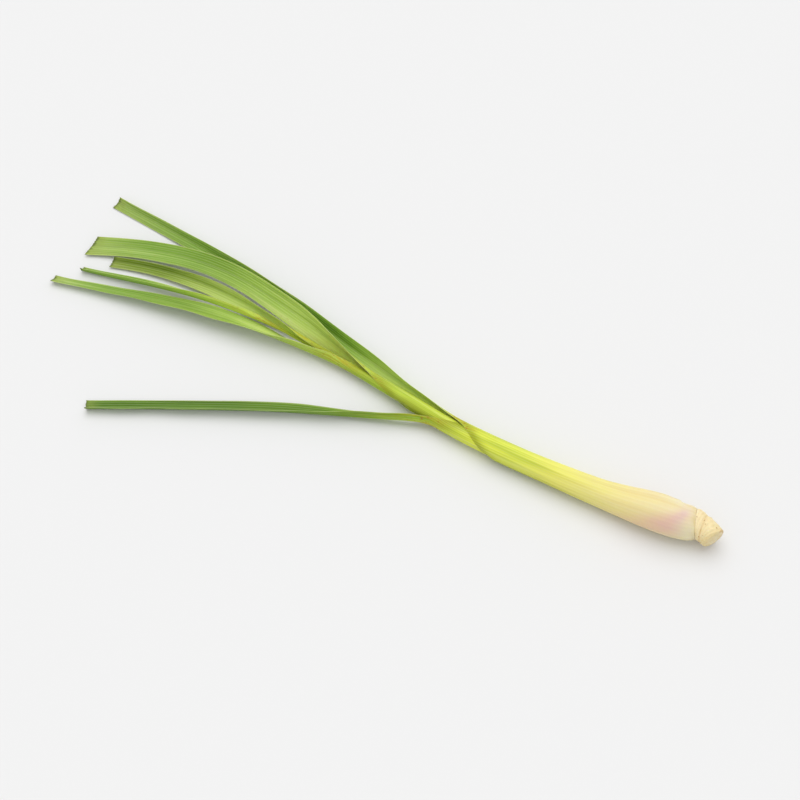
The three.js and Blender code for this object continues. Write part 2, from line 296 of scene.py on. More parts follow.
def wander(seed, *coordinates):
    """A smooth random wave in -1..1 of any coordinates, each given in its own wavelengths."""
    waves, highest = 4, 2.6
    source = np.random.default_rng(seed)
    total = 0.0
    for octave in range(waves):
        push = sum(c * source.uniform(0.6, 1.6) * source.choice([-1, 1]) for c in coordinates)
        wave = np.sin(2 * math.pi * push + source.uniform(0, 2 * math.pi))
        total = total + wave / (1 + 0.5 * octave)
    return total / highest


def lean(points, x):
    """Slants the sheaths' feet and the scar together, so that none cuts through its neighbour."""
    away = points - axis_point(x)
    aside = away[..., 1] * math.cos(LEAN_SIDE) + away[..., 2] * math.sin(LEAN_SIDE)
    share = LEAN_SLOPE * ramp(x, *LEAN_UP) * ramp(x, *LEAN_DOWN)
    return points - heading(axis_point, x) * (aside * share)[..., None]


# ---------------------------------------------------------------- the leaf as a formula

def wall_at(x):
    return WALL_SHARE * along(OUTER_RADIUS, x)


def roll_radius(layer, x):
    """Radius of the middle of a sheath's wall: each layer sits one wall and one gap further in."""
    return along(OUTER_RADIUS, x) - layer * (wall_at(x) + LAYER_GAP) - wall_at(x) / 2


def back_angle(leaf, x):
    start = FAR_SIDE if leaf.far else NEAR_SIDE
    turned = ramp(x, leaf.collar - LEAVING_BELOW, leaf.collar + TWIST_LENGTH)
    return start + math.radians(leaf.twist) * turned


def sideways(leaf, x):
    """How far the blade has swung: it turns off the stalk in a short bend, then runs straight."""
    leaving = leaf.collar - LEAVING_BELOW
    past = np.maximum(0, x - leaving)
    bend = np.hypot(past, leaf.turn) - leaf.turn
    return leaf.swing * bend + leaf.curl * (past / (leaf.end - leaving)) ** 3


def midrib(leaf, layer, x):
    """Along the back of the sheath, then out to the cut end."""
    back = around(cross_plane(heading(axis_point, x)), back_angle(leaf, x))
    point = axis_point(x) + back * roll_radius(layer, x)[..., None]
    point[..., 1] += sideways(leaf, x)
    leaving = leaf.collar - LEAVING_BELOW
    share = np.clip((x - leaving) / (leaf.end - leaving), 0, 1)
    arch = leaf.arch * np.sin(math.pi * share) ** 2
    point[..., 2] = mix(point[..., 2], leaf.tip, ramp(share, 0, 1)) + arch
    return point


def leaf_frame(leaf, layer, x):
    """Where the midrib is, which way it runs, its back and its width."""
    leaving = leaf.collar - LEAVING_BELOW
    own = ramp(x, leaving, leaving + TURN_LENGTH)[..., None]
    blade_heading = heading(lambda u: midrib(leaf, layer, u), x)
    tangent = unit(mix(heading(axis_point, x), blade_heading, own))
    plane = cross_plane(tangent)
    angle = back_angle(leaf, x)
    return midrib(leaf, layer, x), tangent, around(plane, angle), around(plane, angle + math.pi / 2)


def closing_at(leaf, x):
    """How far the sheath's edges have closed over each other, from 0 to 1."""
    if leaf.laps_from is None:
        return 0.0 * x
    return ramp(x, leaf.laps_from - LAP_BEFORE, leaf.laps_from + LAP_AFTER)


def mouth_at(leaf, x):
    """How far the sheath has narrowed to the blade's width, from 0 to 1."""
    return ramp(x, leaf.collar - MOUTH_BELOW, leaf.collar + MOUTH_ABOVE)


def half_width(leaf, layer, x):
    """Half of the leaf's width along its own surface."""
    waist = mix(WAIST_SHARE, 1, ramp(x, leaf.collar, leaf.collar + WAIST_LENGTH))
    taper = mix(1, leaf.end_share, ramp(x, leaf.collar + WAIST_LENGTH, leaf.end))
    blade = leaf.width / 2 * waist * taper
    return mix(roll_radius(layer, x) * (math.pi - SLIT), blade, mouth_at(leaf, x))


def edges(leaf, layer, x):
    """Reach of the leaf's two edges from its midrib, along the leaf's own surface."""
    half = half_width(leaf, layer, x)
    shift = closing_at(leaf, x) * (1 - mouth_at(leaf, x)) * roll_radius(layer, x)
    return -half - shift * UNDER_REACH, half - shift * OVER_SHORT


def slope_across(leaf, radius, opened, distance):
    """Slope of the surface at a distance from the midrib: rolled in a sheath, folded in a blade."""
    folded = math.radians(leaf.fold) * distance / np.hypot(distance, FOLD_SOFTNESS)
    return mix(distance / radius, folded, opened)


def walk_across(leaf, radius, opened, distance):
    """Sideways reach and depth of the surface at a distance across, by adding up short steps."""
    pieces = 24
    step = distance / pieces
    slopes = [slope_across(leaf, radius, opened, (k + 0.5) * step) for k in range(pieces)]
    return sum(np.cos(s) for s in slopes) * step, sum(np.sin(s) for s in slopes) * step


def stations(leaf, start):
    """Distances of the cross-sections: close together at both cuts and where the sheath opens."""
    step = 0.05
    fine = np.arange(start, leaf.end, step)
    near, far = FOOT_ZONE
    spacing = mix(FOOT_SPACING, PLAIN_SPACING, ramp(fine, start + near, start + far))
    by_collar = mix(COLLAR_SPACING, PLAIN_SPACING, ramp(np.abs(fine - leaf.collar), *COLLAR_ZONE))
    at_end = mix(END_SPACING, PLAIN_SPACING, ramp(leaf.end - fine, *END_ZONE))
    spacing = np.minimum(np.minimum(spacing, by_collar), at_end)
    count = np.concatenate([[0], np.cumsum(step / spacing)])
    rows = int(round(count[-1]))
    return np.interp(np.linspace(0, count[-1], rows + 1), count, np.append(fine, leaf.end))


def ragged_cut(seed, share):
    """How far each point of a cut edge stands out: a knife's wander plus short torn fibres."""
    source = np.random.default_rng(seed)
    fibres = np.interp(share, np.linspace(0, 1, FIBRES), source.uniform(-1, 1, FIBRES) ** 3)
    return CUT_STRAY * wander(seed, share * 2.3) + CUT_FIBRE * fibres


def lay_leaf(leaf, layer, x, share):
    """Every point of the leaf's back, its thickness there, and where on the leaf it is."""
    start, end = x[0], leaf.end
    origin, tangent, back, across = (v[:, None, :] for v in leaf_frame(leaf, layer, x))
    low, high = edges(leaf, layer, x)
    radius = half_width(leaf, layer, x) / (math.pi - SLIT)
    radius = np.maximum(roll_radius(layer, x), radius)[:, None]
    opened = ramp(x, leaf.collar - OPENING_BELOW, leaf.collar + OPENING_ABOVE)[:, None]
    wall = wall_at(x)[:, None]
    distance = mix(low[:, None], high[:, None], share[None, :])
    span, depth = walk_across(leaf, radius, opened, distance)
    slope = slope_across(leaf, radius, opened, distance)
    normal = back * np.cos(slope)[..., None] + across * np.sin(slope)[..., None]

    # The edge that passes over the other thins out and lies on it, so the stalk stays round.
    leaving = mouth_at(leaf, x)[:, None]
    over = closing_at(leaf, x)[:, None] * ramp(high[:, None] - distance, *LAP_THINS)
    margin = np.minimum(distance - low[:, None], high[:, None] - distance)
    full = mix(wall + SNUG, BLADE_THICKNESS, opened)
    keel = opened * KEEL_HEIGHT * np.exp(-((distance / KEEL_WIDTH) ** 2))
    reach = mix(CLOSED_MARGIN, MOUTH_MARGIN, ramp(leaving, 0, MOUTH_EARLY))
    reach = mix(reach, BLADE_MARGIN, opened)
    share_of_wall = np.minimum(ramp(margin, 0, reach), 1 - over)
    foot = mix(FOOT_SHARE, 1, ramp(x, start - FOOT_BELOW, start + FOOT_ABOVE))[:, None]
    thickness = mix(MARGIN_THICKNESS, full * foot, share_of_wall) + keel

    along_mm = np.broadcast_to(x[:, None], distance.shape)
    turn = back_angle(leaf, x)[:, None] + slope
    lift = over * (full - MARGIN_THICKNESS + LAP_STEP) * ramp(leaving, *LIFT_GOES)
    half = (high - low)[:, None] / 2
    swell = wander(SWELL_SEED, 0.5 * np.cos(turn), 0.5 * np.sin(turn), along_mm / SWELL_LENGTH)
    swell = SWELL * swell * (1 - opened)
    seed = layer + FLUTTER_SEED
    flutter = wander(seed, along_mm / FLUTTER_LENGTH, distance / FLUTTER_WIDTH)
    flutter = FLUTTER * flutter * (distance / half) ** 2 * opened
    offset = lift + swell + flutter - mix(wall / 2 + SNUG, BLADE_THICKNESS / 2, opened) + thickness

    cut = leaf.slant * distance + leaf.notch * np.abs(distance)
    cut = cut * ramp(x, end - SLANT_LENGTH, end)[:, None]
    ragged_end = ragged_cut(layer + END_SEED, share)
    ragged_foot = FOOT_RAGGED * ragged_cut(layer + FOOT_SEED, share)
    cut = cut + ragged_end[None, :] * ramp(x, end - RAGGED_LENGTH, end)[:, None]
    cut = cut + ragged_foot[None, :] * ramp(x, start + RAGGED_LENGTH, start)[:, None]

    points = origin + across * span[..., None] - back * depth[..., None]
    points = lean(points + tangent * cut[..., None] + normal * offset[..., None], along_mm)
    to_end = np.broadcast_to((end - x)[:, None], distance.shape)
    lateral = mix(slope * NECK_RADIUS, distance, opened)
    place = np.stack([along_mm, lateral, margin], axis=-1)
    state = np.stack([np.broadcast_to(opened, distance.shape), to_end, distance], axis=-1)
    return points, thickness, place, state, stains(leaf, layer, along_mm, turn)


def bump_at(value, centre, reach):
    return np.exp(-(((value - centre) / reach) ** 2))


def turn_gap(turn, centre):
    """Degrees from centre, given in degrees, to turn, given in radians, the short way round."""
    return (np.degrees(turn) - centre + 180) % 360 - 180


def marks(places, reach, x, turn):
    """Soft round marks, summed, each given as (distance, degrees round the stalk, strength)."""
    length, width = reach
    return sum(strength * bump_at(x, place, length) * bump_at(turn_gap(turn, degrees), 0, width)
               for place, degrees, strength in places)


def stains(leaf, layer, x, turn):
    """How blushed, creamy and rusty the tissue is. Only the outer sheath shows the first two."""
    outer = 1.0 if layer == 0 else 0.0
    blush = 0.0 * x
    for centre_line, strength in BLUSHES:
        gap = turn_gap(turn, along(centre_line, x))
        line = bump_at(gap, 0, BLUSH_LINE) * ramp(x, *LINE_OUT) * ramp(x, *LINE_IN)
        wash = bump_at(gap, -BLUSH_WASH, BLUSH_WASH) * ramp(x, *WASH_IN)
        blush = np.maximum(blush, strength * np.minimum(1, LINE_SHARE * line + WASH_SHARE * wash))
    blush = blush * outer * ramp(x, *BLUSH_OUT)
    cream = marks(CREAMS, CREAM_REACH, x, turn)
    collar = sum(strength * bump_at(x, leaf.collar + past, reach)
                 for past, reach, strength in COLLAR_RUSTS)
    rust = np.clip(collar + marks(RUSTS, RUST_REACH, x, turn) * outer, 0, 1)
    return np.stack([blush, cream * outer, rust], axis=-1)


# ---------------------------------------------------------------- modelling steps

def deselect_all():
    bpy.ops.object.select_all(action="DESELECT")


def pick(piece):
    """Selects this piece alone and makes it the active one."""
    deselect_all()
    piece.select_set(True)
    bpy.context.view_layer.objects.active = piece


def edit_mesh(piece):
    """Opens a piece for mesh editing with all of it selected."""
    pick(piece)
    bpy.ops.object.mode_set(mode="EDIT")
    bpy.ops.mesh.select_all(action="SELECT")


def close_mesh():
    bpy.ops.object.mode_set(mode="OBJECT")


def apply_modifier(piece, kind, **settings):
    pick(piece)
    modifier = piece.modifiers.new(kind.title(), kind)
    for name, value in settings.items():
        setattr(modifier, name, value)
    bpy.ops.object.modifier_apply(modifier=modifier.name)


def read_points(mesh):
    flat = np.empty(len(mesh.vertices) * 3)
    mesh.vertices.foreach_get("co", flat)
    return flat.reshape(-1, 3)


def write_points(mesh, points):
    mesh.vertices.foreach_set("co", np.ascontiguousarray(points, float).ravel())
    mesh.update()


def write_attribute(mesh, name, vectors):
    layer = mesh.attributes.new(name, "FLOAT_VECTOR", "POINT")
    layer.data.foreach_set("vector", np.ascontiguousarray(vectors, float).ravel())


def to_frame(points):
    """Millimetres from the scar to metres in the frame."""
    return (points - BOX_MIDDLE) * MM


def press_on_table(piece):
    """The soft leaf flattens where it would pass through the table."""
    points = read_points(piece.data)
    points[:, 2] = np.maximum(points[:, 2], 0)
    write_points(piece.data, points)


def finish_piece(piece, node):
    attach(piece, "root")
    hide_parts(node)


def flat_blank(name, rows, columns):
    """A flat strip one unit long and wide, ready to be laid."""
    deselect_all()
    bpy.ops.mesh.primitive_grid_add(x_subdivisions=rows, y_subdivisions=columns, size=1,
                                    location=(0.5, 0.5, 0))
    blank = bpy.context.active_object
    bpy.ops.object.transform_apply(location=True, rotation=False, scale=False)
    blank.name = blank.data.name = name
    return blank


def lay_blank(blank, rows, columns, layout):
    """Moves every corner of the flat strip to its place in the layout, row by row."""
    shares = read_points(blank.data)
    row = np.rint(shares[:, 0] * rows).astype(int)
    column = np.rint(shares[:, 1] * columns).astype(int)
    points, thickness, place, state, stain = layout
    write_points(blank.data, to_frame(points[row, column]))
    write_attribute(blank.data, "leaf_place", place[row, column])
    write_attribute(blank.data, "leaf_state", state[row, column])
    write_attribute(blank.data, "leaf_stain", stain[row, column])
    return thickness[row, column]


def make_leaf(leaf, layer):
    start = SHEATH_START + layer * SHEATH_STEP
    x = stations(leaf, start)
    even = np.linspace(0, 1, leaf.columns + 1)
    share = even - CROWDING * np.sin(2 * math.pi * even) / (2 * math.pi)
    rows = len(x) - 1
    piece = flat_blank(leaf.name + "_fine", rows, leaf.columns)
    thickness = lay_blank(piece, rows, leaf.columns, lay_leaf(leaf, layer, x, share))
    edit_mesh(piece)
    bpy.ops.mesh.flip_normals()
    close_mesh()
    deepest = float(thickness.max())
    group = piece.vertex_groups.new(name="thickness")
    for index, value in enumerate(thickness / deepest):
        group.add([index], float(value), "REPLACE")
    for material in leaf_materials(leaf, layer):
        piece.data.materials.append(material)
    apply_modifier(piece, "SOLIDIFY", thickness=deepest * MM, offset=-1, vertex_group="thickness",
                   use_quality_normals=True, material_offset=1, material_offset_rim=2)
    press_on_table(piece)
    bpy.ops.object.shade_smooth_by_angle(angle=LEAF_CREASE)
    finish_piece(piece, leaf.name)


# ---------------------------------------------------------------- the root plate

def make_root():
    """A circle drawn out ring by ring along the bent stub, closed at both ends and roughened."""
    deselect_all()
    radii = along(ROOT_PROFILE, ROOT_RINGS)
    centres = to_frame(axis_point(ROOT_RINGS))
    headings = heading(axis_point, np.maximum(ROOT_RINGS, ROOT_STRAIGHT))
    yaws = np.arctan2(headings[:, 1], headings[:, 0])
    bpy.ops.mesh.primitive_circle_add(
        vertices=ROOT_SIDES, radius=radii[0] * MM, fill_type="NOTHING",
        location=centres[0], rotation=(0, math.pi / 2, yaws[0]))
    piece = bpy.context.active_object
    piece.name = piece.data.name = "root_plate_fine"
    bpy.ops.object.transform_apply(location=True, rotation=True, scale=True)
    edit_mesh(piece)
    for ring in range(1, len(ROOT_RINGS)):
        growth = radii[ring] / radii[ring - 1]
        step = centres[ring] - centres[ring - 1]
        bpy.ops.mesh.extrude_edges_move(TRANSFORM_OT_translate={"value": step})
        bpy.ops.transform.rotate(value=yaws[ring - 1] - yaws[ring], orient_axis="Z",
                                 center_override=centres[ring])
        bpy.ops.transform.resize(value=(growth, growth, growth), center_override=centres[ring])
    close_mesh()
    fill_ring(piece, centres[0], insets=CUT_INSETS)
    fill_ring(piece, centres[-1], insets=())
    edit_mesh(piece)
    bpy.ops.mesh.normals_make_consistent(inside=False)
    close_mesh()
    roughen_root(piece)
    piece.data.materials.append(root_tissue())
    pick(piece)
    bpy.ops.object.shade_smooth_by_angle(angle=ROOT_CREASE)
    finish_piece(piece, "root_plate")


def fill_ring(piece, centre, insets):
    """Closes the open ring round a point of the axis, with rings of faces inside it."""
    edit_mesh(piece)
    bpy.ops.mesh.select_mode(type="VERT")
    bpy.ops.mesh.select_all(action="DESELECT")
    bpy.ops.mesh.select_non_manifold(use_wire=False, use_multi_face=False, use_non_contiguous=False,
                                     use_verts=False)
    close_mesh()
    for vertex in piece.data.vertices:
        vertex.select = vertex.select and (vertex.co - Vector(centre)).length < ROOT_SPAN * MM
    for edge in piece.data.edges:
        edge.select = all(piece.data.vertices[v].select for v in edge.vertices)
    bpy.ops.object.mode_set(mode="EDIT")
    bpy.ops.mesh.edge_face_add()
    for width in insets:
        bpy.ops.mesh.inset(thickness=width * MM, depth=0)
    bpy.ops.mesh.poke()
    close_mesh()


def roughen_root(piece):
    """Knobs, root stubs and a slanted cut that isn't quite flat. The cone inside stays plain."""
    points = read_points(piece.data) / MM + BOX_MIDDLE
    x = points[:, 0].copy()
    for _ in range(8):  # closes in on the distance whose cross-section each point lies in
        x += ((points - axis_point(x)) * heading(axis_point, x)).sum(axis=1)
    centre = axis_point(x)
    radial = points - centre
    radius = np.linalg.norm(radial, axis=1)
    side, up = cross_plane(heading(axis_point, x))
    angle = np.arctan2((radial * up).sum(axis=1), (radial * side).sum(axis=1))
    rind = ramp(x, SHEATH_START, SHEATH_START - RELIEF_FADE)
    cos, sin = np.cos(angle), np.sin(angle)
    ripple = x + RING_STRAY * wander(RIPPLE_SEED, 0.45 * cos, 0.45 * sin)
    rings = RING_RELIEF * np.sin(2 * math.pi * ripple / RING_SPACING)
    rings = rings + RING_RELIEF * wander(RING_SEED, 3 * cos, 3 * sin, x / 1.6)
    knobs = 0.02 * np.sin(3 * angle + 1) + 0.015 * np.sin(5 * angle + 4 * x)
    knobs = knobs + KNOB_RELIEF * wander(KNOB_SEED, 1.1 * cos, 1.1 * sin, x / 3)
    stub = 0 * x
    for place, degrees, width in ROOT_STUBS:
        gap = np.radians(turn_gap(angle, degrees)) * np.maximum(radius, 1)
        disc = np.exp(-(np.hypot(gap, x - place) / width * 1.7) ** 4)
        stub = np.maximum(stub, disc * ramp(radius, *STUBS_OUTSIDE))
    grown = radial * (1 + (knobs + rings + STUB_RELIEF * stub) * rind)[:, None]
    on_cut = (x < ROOT_RINGS[0] + 0.05) & (radius < CUT_RADIUS)
    saw = SAW_MARKS * wander(SAW_SEED, radial[:, 1] / 2.6, radial[:, 2] / 7)
    points = centre + grown
    points[:, 0] += np.where(on_cut, saw - CUT_BULGE * ramp(radius, *BULGE_ZONE), 0)
    points[:, 0] += ROOT_SLANT * (grown * side).sum(axis=1) * ramp(x, *SLANT_ZONE)
    points = lean(points, x)
    write_points(piece.data, to_frame(points))
    write_attribute(piece.data, "root_place", np.stack([x, radius, stub], axis=-1))


# ---------------------------------------------------------------- materials

def linear(code, alpha=1.0):
    """An sRGB hex colour as the linear values that shaders use."""
    channels = [int(code[i:i + 2], 16) / 255 for i in (1, 3, 5)]
    return [c / 12.92 if c <= 0.04045 else ((c + 0.055) / 1.055) ** 2.4 for c in channels] + [alpha]


def add(tree, kind, links=None, stops=None, **settings):
    """Adds one node. links: socket -> value, hex colour, output socket or node (its first output).

    stops: (position, hex colour) of a colour ramp. settings: the node's own.
    """
    node = tree.nodes.new(kind)
    for name, value in settings.items():
        setattr(node, name, value)
    for place, (position, code) in enumerate(stops or []):
        elements = node.color_ramp.elements
        element = elements[place] if place < len(elements) else elements.new(position)
        element.position = position
        element.color = linear(code)
    for socket, value in (links or {}).items():
        if isinstance(value, bpy.types.Node):
            value = next(output for output in value.outputs if output.enabled)
        if isinstance(value, bpy.types.NodeSocket):
            tree.links.new(value, node.inputs[socket])
        else:
            node.inputs[socket].default_value = linear(value) if isinstance(value, str) else value
    return node


# Settings that many nodes share: a soft step (sockets 1 and 2 are where it starts and stops, 3 and
# 4 its values there), a mix of colours (0 is the share of 7 over 6), a product (0 times 1), and a
# product with a shift (0 times 1, plus 2).
FADE = {"kind": "ShaderNodeMapRange", "interpolation_type": "SMOOTHSTEP"}
BLEND = {"kind": "ShaderNodeMix", "data_type": "RGBA"}
TIMES = {"kind": "ShaderNodeMath", "operation": "MULTIPLY"}
SCALE_AND_SHIFT = {"kind": "ShaderNodeMath", "operation": "MULTIPLY_ADD"}


def new_material(name):
    material = bpy.data.materials.new(name)
    material.use_nodes = True
    material.node_tree.nodes.clear()
    return material, material.node_tree


# Colours of the living leaf, [distance from the scar, colour]: the sheath by its place on the
# stalk, and the blade by how far past its own collar it is.
SHEATH_BACK = [
    [4.5, "#E6D3A2"], [7, "#ECDDB4"], [12, "#EDE2BA"], [24, "#ECDDAA"], [44, "#EDDE9C"],
    [66, "#ECE388"], [88, "#EBE870"], [112, "#E0E85A"], [140, "#DCE548"], [170, "#C4D636"],
    [215, "#B2CE3C"], [260, "#A2C038"],
]
SHEATH_FACE = [[4, "#E6D9B0"], [30, "#EFEBD2"], [90, "#EDEFB8"], [140, "#DCE78A"], [200, "#C6DB6A"]]
BLADES = {
    "fresh": [
        [12, "#C6DC54"], [45, "#B2D052"], [85, "#92B844"], [120, "#80A938"], [200, "#8AB044"],
        [270, "#9AB456"],
    ],
    "pale": [
        [12, "#B8D24C"], [40, "#B2CE56"], [75, "#A6C454"], [130, "#88AC42"], [165, "#94B850"],
        [205, "#AEC468"],
    ],
    "deep": [
        [12, "#9EBE36"], [40, "#779C22"], [110, "#5C841C"], [200, "#6A922A"], [270, "#7C963C"],
    ],
    "olive": [
        [12, "#B6C33A"], [40, "#9EAC32"], [110, "#839A2E"], [200, "#7E9636"], [270, "#8E9848"],
    ],
}
# Painted light: a blade's inner side gets a brighter colour just past the collar,
# where its folded mouth lies in shade, apart from the deep green one.
FACE_PAINTED_LIGHT = [[12, "#E0F274"], [40, "#D2E87C"]]
# The blush from the root up, and the two distances that its stops lie between.
BLUSH = [(0.0, "#DCBAC0"), (0.3, "#E6B9B4"), (0.7, "#E9C3A2"), (1.0, "#EACBA0")]
BLUSH_SPAN = (6.0, 52.0)

VEIN_SPACING = 1.4  # between the larger veins, one in five: the small ones are too fine to see
VEIN_RELIEF, RIND_RELIEF = 0.045 * MM, 0.05 * MM
SCATTERING = 0.0012  # metres that light travels inside the tissue
TISSUE_IOR = 1.45

# Noise drawn out along the leaf: its patches' length and width in mm, and its detail.
GRAINS = {
    "broad": (90, 4.5, 2), "streak": (60, 0.9, 3), "soft": (70, 2.4, 2), "fleck": (9, 0.7, 2),
    "patch": (16, 1.8, 3), "spot": (2.6, 0.6, 1), "stray": (3.6, 0.6, 1),
}


def stops_for(leaf, sheath, blade):
    """One row of colour stops, from the scar to the cut end, as shares of REACH."""
    opening = leaf.collar - OPENING_BELOW
    row = [knot for knot in sheath if knot[0] < opening] + [[leaf.collar + d, c] for d, c in blade]
    return [(min(place, leaf.end) / REACH, colour) for place, colour in row
            if place - PAST_END < leaf.end]


def leaf_materials(leaf, layer):
    back_stops = stops_for(leaf, SHEATH_BACK, BLADES[leaf.tone])
    # Just past the collar the face's colours hold painted light, except on the deep green blade.
    blade_face = BLADES[leaf.tone] if leaf.tone == "deep" else FACE_PAINTED_LIGHT + BLADES[leaf.tone][2:]
    face_stops = stops_for(leaf, SHEATH_FACE, blade_face)
    back = grass_tissue(f"grass_leaf_back_{layer + 1}", back_stops, layer,
                        roughness=0.42, depth=0.0, rib="#B5CE74")
    face = grass_tissue(f"grass_leaf_face_{layer + 1}", face_stops, layer,
                        roughness=0.36, depth=0.25, rib="#BCD47C")
    return back, face, leaf_margin(f"grass_leaf_margin_{layer + 1}", back_stops)


def read_attributes(tree, *names):
    """The three numbers of each named attribute, and the last one as a vector."""
    numbers = []
    for name in names:
        source = add(tree, "ShaderNodeAttribute", attribute_name=name).outputs["Vector"]
        numbers.extend(add(tree, "ShaderNodeSeparateXYZ", {0: source}).outputs)
    return numbers + [source]


def grass_tissue(name, stops, layer, roughness, depth, rib):
    """Lemongrass leaf: a thin waxy skin over pale strands that all run lengthwise.

    The eye gets a satin sheen broken into long fine lines, cream to lime to leaf green along the
    length, a paler midrib and margins, mauve and creamy stains at the bulb, and rust near the
    collar. depth: how much deeper the blade's green is on this side. rib: colour of the midrib.
    """
    material, tree = new_material(name)
    (opened, to_end, across, blush, cream, rust, length, lateral, margin,
     place) = read_attributes(tree, "leaf_state", "leaf_stain", "leaf_place")
    grain = {}
    for k, (pattern, (long, wide, detail)) in enumerate(GRAINS.items()):
        apart = 7 * k + 3.7 * layer  # each pattern and leaf reads its own level of the noise
        drawn = add(tree, "ShaderNodeVectorMath", operation="MULTIPLY_ADD", links={
            0: place, 1: (1 / long, 1 / wide, 0), 2: (0, 0, apart)})
        grain[pattern] = add(tree, "ShaderNodeTexNoise", {
            "Vector": drawn, "Scale": 1.0, "Detail": detail, "Roughness": 0.55})
    wave = add(tree, **TIMES, links={0: lateral, 1: 2 * math.pi / VEIN_SPACING})
    wave = add(tree, "ShaderNodeMath", {0: wave}, operation="SINE")
    vein = add(tree, **FADE, links={0: wave, 1: -0.4, 2: 1.0})
    green = add(tree, **FADE, links={0: length, 1: 35, 2: 130})  # the blanched foot is creamy

    wobble = add(tree, **SCALE_AND_SHIFT, links={0: grain["broad"], 1: 0.06, 2: -0.03})
    along_ramp = add(tree, **SCALE_AND_SHIFT, links={0: length, 1: 1 / REACH, 2: wobble})
    colour = add(tree, "ShaderNodeValToRGB", {0: along_ramp}, stops=stops)
    shade = add(tree, **BLEND, links={0: green, 6: "#EBDABA", 7: "#B9C78C"})
    deeper = add(tree, **BLEND, blend_type="MULTIPLY", links={0: 1.0, 6: colour, 7: shade})
    closed = add(tree, **FADE, links={0: opened, 1: 0.0, 2: 0.5, 3: 1.0, 4: 0.0})
    closed = add(tree, **TIMES, links={0: closed, 1: green})
    lighter = add(tree, **BLEND, links={0: 0.45, 6: colour, 7: "#DCE59A"})
    streaked = add(tree, **FADE, links={0: green, 1: 0.0, 2: 1.0, 3: 0.3, 4: 0.6})
    up_bulb = add(tree, "ShaderNodeMapRange", {0: length, 1: BLUSH_SPAN[0], 2: BLUSH_SPAN[1]})
    pink = add(tree, "ShaderNodeValToRGB", {0: up_bulb}, stops=BLUSH)
    from_rib = add(tree, "ShaderNodeMath", {0: across}, operation="ABSOLUTE")
    rib_share = add(tree, **FADE, links={0: from_rib, 1: 0.3, 2: 0.9, 3: 0.34, 4: 0.0})
    frayed = add(tree, **SCALE_AND_SHIFT, links={0: grain["fleck"], 1: 4.0, 2: -2.0})
    dry = add(tree, "ShaderNodeMath", {0: to_end, 1: frayed}, operation="SUBTRACT")

    # Each layer of colour: where it shows (a value, and the soft step that turns it into a share),
    # what else limits it, and its tint.
    layers = [
        (grain["soft"], (0.45, 0.75, 0.0, 1.0), streaked, deeper),
        (grain["streak"], (0.48, 0.75, 0.0, 0.5), green, deeper),
        (grain["broad"], (0.5, 0.72, 0.0, 0.75), green, deeper),
        (grain["broad"], (0.28, 0.46, 0.7, 0.0), green, lighter),
        (opened, (0.0, 1.0, 0.0, depth), 1.0, deeper),
        (margin, (1.0, 8.0, 0.8, 0.0), closed, "#9CA712"),
        (vein, (0.0, 1.0, 0.0, 0.1), 1.0, "#F4F3C4"),
        (grain["soft"], (0.3, 0.7, 0.9, 0.7), blush, pink),
        (cream, (0.0, 1.0, 0.0, 0.6), 1.0, "#E6E0C2"),
        (grain["patch"], (0.42, 0.62, 0.0, 0.75), rust, "#B9A92A"),
        (grain["spot"], (0.63, 0.7, 0.0, 0.85), rust, "#9A5F24"),
        (grain["stray"], (0.77, 0.81, 0.0, 0.8), opened, "#9A7A34"),
        (rib_share, (0.0, 1.0, 0.0, 1.0), opened, rib),
        (margin, (0.1, 0.6, 0.4, 0.0), opened, "#CFDB90"),
        (dry, (2.0, 9.0, 0.4, 0.0), 1.0, "#94A24A"),
        (dry, (0.2, 2.0, 0.85, 0.0), 1.0, "#5F6A34"),
    ]
    for value, (low, high, at_low, at_high), limit, tint in layers:
        share = add(tree, **FADE, links={0: value, 1: low, 2: high, 3: at_low, 4: at_high})
        share = add(tree, **TIMES, links={0: share, 1: limit})
        colour = add(tree, **BLEND, links={0: share, 6: colour, 7: tint})

    sheen = add(tree, **FADE, links={
        0: grain["streak"], 1: 0.3, 2: 0.7, 3: roughness - 0.05, 4: roughness + 0.14})
    height = add(tree, **SCALE_AND_SHIFT, links={0: grain["streak"], 1: 0.7, 2: vein})
    bump = add(tree, "ShaderNodeBump", {"Height": height, "Distance": VEIN_RELIEF, "Strength": 1.0})
    surface = add(tree, "ShaderNodeBsdfPrincipled", {
        "Base Color": colour, "Roughness": sheen, "Normal": bump,
        "IOR": TISSUE_IOR, "Specular IOR Level": 0.17, "Subsurface Weight": 0.35,
        "Subsurface Radius": (0.9, 1.0, 0.3), "Subsurface Scale": SCATTERING})
    add(tree, "ShaderNodeOutputMaterial", {"Surface": surface})
    return material


